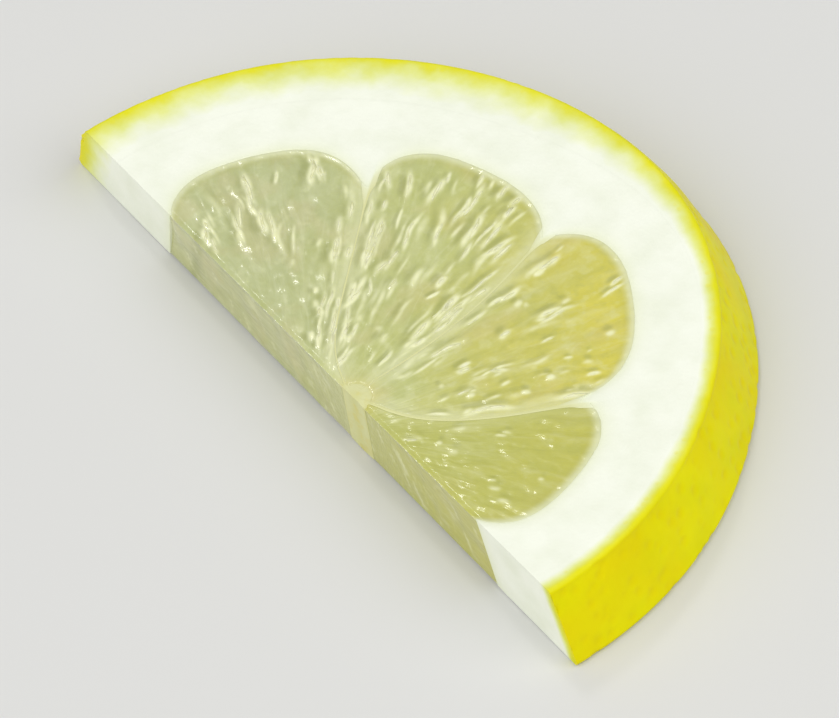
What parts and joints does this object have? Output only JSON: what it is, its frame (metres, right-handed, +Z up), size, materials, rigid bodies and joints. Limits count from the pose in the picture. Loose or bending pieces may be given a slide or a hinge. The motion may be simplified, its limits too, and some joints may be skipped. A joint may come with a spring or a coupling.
{
  "type": "lemon slice",
  "caption": "Half-round slice of fresh lemon with yellow rind, thick white pith and translucent juicy segments, lying on its lower cut face.",
  "frame": {"origin": "middle of the bottom of the slice's bounding box, on the plane of the lower cut face", "axes": "+X along the straight upright cut, +Y from that cut towards the rind, +Z up through the slice's thickness"},
  "size_m": [0.0632, 0.0316, 0.006],
  "materials": {
    "lemon": "moist, glossy yellow rind round white pith and translucent pale yellow flesh"
  },
  "bodies": {
    "root": {"lemon_slice": "lemon"}
  },
  "joints": []
}
